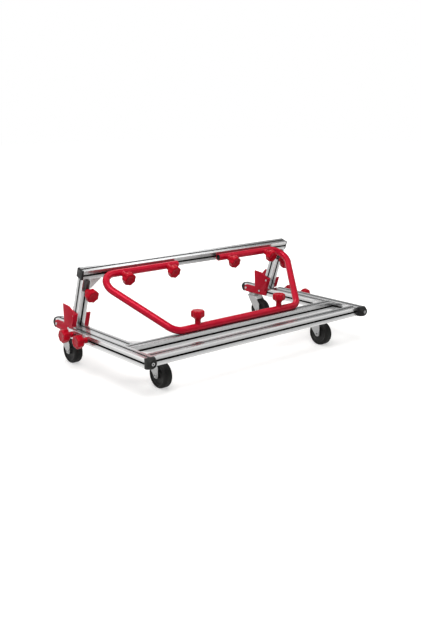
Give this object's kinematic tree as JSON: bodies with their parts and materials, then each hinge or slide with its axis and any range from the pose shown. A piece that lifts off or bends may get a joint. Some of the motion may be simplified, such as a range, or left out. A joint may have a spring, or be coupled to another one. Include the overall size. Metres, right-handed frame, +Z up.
{
  "type": "glazing trolley",
  "caption": "Low glazing trolley of slotted aluminium profile with a leaning head frame, red bent tube brace, star-knob clamps and swivel casters.",
  "frame": {"origin": "on the floor under the middle of the trolley's length and depth", "axes": "+X along the cross rails to the right seen from the bumper side, +Y to the loading side behind the head frame, +Z up"},
  "size_m": [1.3086, 0.758, 0.4263],
  "materials": {
    "rail_aluminium": "bright drawn profile",
    "red_coat": "gloss powder coat",
    "red_plastic": "moulded",
    "zinc_steel": "bright zinc plate",
    "cast_grey": "die cast",
    "black_plastic": "moulded",
    "black_rubber": "smooth",
    "black_tyre": "smooth solid tyre"
  },
  "bodies": {
    "chassis": {"cross_rail": "rail_aluminium", "inner_rail_left": "rail_aluminium", "inner_rail_right": "rail_aluminium", "upright_left": "rail_aluminium", "upright_right": "rail_aluminium", "top_bar": "rail_aluminium", "holder_plate_left_outer": "red_coat", "holder_plate_left_inner": "red_coat", "holder_plate_right_outer": "red_coat", "holder_plate_right_inner": "red_coat", "holder_screws": "zinc_steel", "corner_brackets": "cast_grey", "bracket_screws": "zinc_steel", "chassis_slot_nuts": "zinc_steel", "end_caps": "black_plastic", "rear_buffers": "black_rubber", "rear_buffer_screws": "zinc_steel", "clamp_plates": "zinc_steel", "caster_heads": "zinc_steel", "kingpins": "zinc_steel"},
    "bumper_frame": {"side_rail_left": "rail_aluminium", "side_rail_right": "rail_aluminium", "front_rail": "rail_aluminium", "bumper_caps": "black_plastic", "buffers": "black_rubber", "buffer_screws": "zinc_steel", "front_brackets": "cast_grey", "front_bracket_screws": "zinc_steel", "bumper_slot_nuts": "zinc_steel"},
    "bow": {"bow_tube": "red_coat", "bow_plugs": "black_plastic", "bow_slot_nuts": "zinc_steel"},
    "bow_knob_1_body": {"bow_knob_1": "red_plastic"},
    "bow_knob_2_body": {"bow_knob_2": "red_plastic"},
    "bow_knob_3_body": {"bow_knob_3": "red_plastic"},
    "bow_knob_4_body": {"bow_knob_4": "red_plastic"},
    "bow_knob_low_left_body": {"bow_knob_low_left": "red_plastic"},
    "bow_knob_low_right_body": {"bow_knob_low_right": "red_plastic"},
    "side_knob_left_far_body": {"side_knob_left_far": "red_plastic"},
    "side_knob_left_near_body": {"side_knob_left_near": "red_plastic"},
    "side_knob_right_far_body": {"side_knob_right_far": "red_plastic"},
    "side_knob_right_near_body": {"side_knob_right_near": "red_plastic"},
    "upright_knob_left_body": {"upright_knob_left": "red_plastic"},
    "upright_knob_right_body": {"upright_knob_right": "red_plastic"},
    "caster_front_left": {"fork_front_left": "zinc_steel", "axle_front_left": "zinc_steel"},
    "roller_front_left": {"wheel_front_left": "black_plastic", "tyre_front_left": "black_tyre"},
    "caster_front_right": {"fork_front_right": "zinc_steel", "axle_front_right": "zinc_steel"},
    "roller_front_right": {"wheel_front_right": "black_plastic", "tyre_front_right": "black_tyre"},
    "caster_rear_left": {"fork_rear_left": "zinc_steel", "axle_rear_left": "zinc_steel"},
    "roller_rear_left": {"wheel_rear_left": "black_plastic", "tyre_rear_left": "black_tyre"},
    "caster_rear_right": {"fork_rear_right": "zinc_steel", "axle_rear_right": "zinc_steel"},
    "roller_rear_right": {"wheel_rear_right": "black_plastic", "tyre_rear_right": "black_tyre"}
  },
  "joints": [
    {"name": "bumper_slide", "type": "slide", "parent": "chassis", "child": "bumper_frame", "axis": [0, -1, 0], "range_m": [0, 0.18]},
    {"name": "bow_slide", "type": "slide", "parent": "chassis", "child": "bow", "axis": [1, 0, 0], "range_m": [-0.012, 0.012]},
    {"name": "bow_knob_1_turn", "type": "hinge", "parent": "bow", "child": "bow_knob_1_body", "pos_m": [-0.39453, 0.10838, 0.39501], "axis": [0, -0.9483, -0.3173], "range_deg": [0, 360]},
    {"name": "bow_knob_2_turn", "type": "hinge", "parent": "bow", "child": "bow_knob_2_body", "pos_m": [-0.1655, 0.10838, 0.39501], "axis": [0, -0.9483, -0.3173], "range_deg": [0, 360]},
    {"name": "bow_knob_3_turn", "type": "hinge", "parent": "bow", "child": "bow_knob_3_body", "pos_m": [0.1754, 0.10838, 0.39501], "axis": [0, -0.9483, -0.3173], "range_deg": [0, 360]},
    {"name": "bow_knob_4_turn", "type": "hinge", "parent": "bow", "child": "bow_knob_4_body", "pos_m": [0.40444, 0.10838, 0.39501], "axis": [0, -0.9483, -0.3173], "range_deg": [0, 360]},
    {"name": "bow_knob_low_left_turn", "type": "hinge", "parent": "bow", "child": "bow_knob_low_left_body", "pos_m": [-0.22698, -0.19, 0.175], "axis": [0, 0, 1], "range_deg": [0, 360]},
    {"name": "bow_knob_low_right_turn", "type": "hinge", "parent": "bow", "child": "bow_knob_low_right_body", "pos_m": [0.22698, -0.19, 0.175], "axis": [0, 0, 1], "range_deg": [0, 360]},
    {"name": "side_knob_left_far_turn", "type": "hinge", "parent": "bumper_frame", "child": "side_knob_left_far_body", "pos_m": [-0.604, 0.148, 0.155], "axis": [-1, 0, 0], "range_deg": [0, 360]},
    {"name": "side_knob_left_near_turn", "type": "hinge", "parent": "bumper_frame", "child": "side_knob_left_near_body", "pos_m": [-0.604, 0.04, 0.155], "axis": [-1, 0, 0], "range_deg": [0, 360]},
    {"name": "side_knob_right_far_turn", "type": "hinge", "parent": "bumper_frame", "child": "side_knob_right_far_body", "pos_m": [0.604, 0.148, 0.155], "axis": [1, 0, 0], "range_deg": [0, 360]},
    {"name": "side_knob_right_near_turn", "type": "hinge", "parent": "bumper_frame", "child": "side_knob_right_near_body", "pos_m": [0.604, 0.04, 0.155], "axis": [1, 0, 0], "range_deg": [0, 360]},
    {"name": "upright_knob_left_turn", "type": "hinge", "parent": "chassis", "child": "upright_knob_left_body", "pos_m": [-0.5436, 0.12965, 0.33147], "axis": [0, -0.9483, -0.3173], "range_deg": [0, 360]},
    {"name": "upright_knob_right_turn", "type": "hinge", "parent": "chassis", "child": "upright_knob_right_body", "pos_m": [0.5436, 0.12965, 0.33147], "axis": [0, -0.9483, -0.3173], "range_deg": [0, 360]},
    {"name": "swivel_front_left", "type": "hinge", "parent": "chassis", "child": "caster_front_left", "pos_m": [-0.44998, -0.19, 0.135], "axis": [0, 0, 1], "continuous": true},
    {"name": "roll_front_left", "type": "hinge", "parent": "caster_front_left", "child": "roller_front_left", "pos_m": [-0.44998, -0.239, 0.053], "axis": [1, 0, 0], "continuous": true},
    {"name": "swivel_front_right", "type": "hinge", "parent": "chassis", "child": "caster_front_right", "pos_m": [0.44998, -0.19, 0.135], "axis": [0, 0, 1], "continuous": true},
    {"name": "roll_front_right", "type": "hinge", "parent": "caster_front_right", "child": "roller_front_right", "pos_m": [0.44998, -0.239, 0.053], "axis": [1, 0, 0], "continuous": true},
    {"name": "swivel_rear_left", "type": "hinge", "parent": "chassis", "child": "caster_rear_left", "pos_m": [-0.5436, 0.301, 0.135], "axis": [0, 0, 1], "continuous": true},
    {"name": "roll_rear_left", "type": "hinge", "parent": "caster_rear_left", "child": "roller_rear_left", "pos_m": [-0.5436, 0.252, 0.053], "axis": [1, 0, 0], "continuous": true},
    {"name": "swivel_rear_right", "type": "hinge", "parent": "chassis", "child": "caster_rear_right", "pos_m": [0.5436, 0.301, 0.135], "axis": [0, 0, 1], "continuous": true},
    {"name": "roll_rear_right", "type": "hinge", "parent": "caster_rear_right", "child": "roller_rear_right", "pos_m": [0.5436, 0.252, 0.053], "axis": [1, 0, 0], "continuous": true}
  ]
}
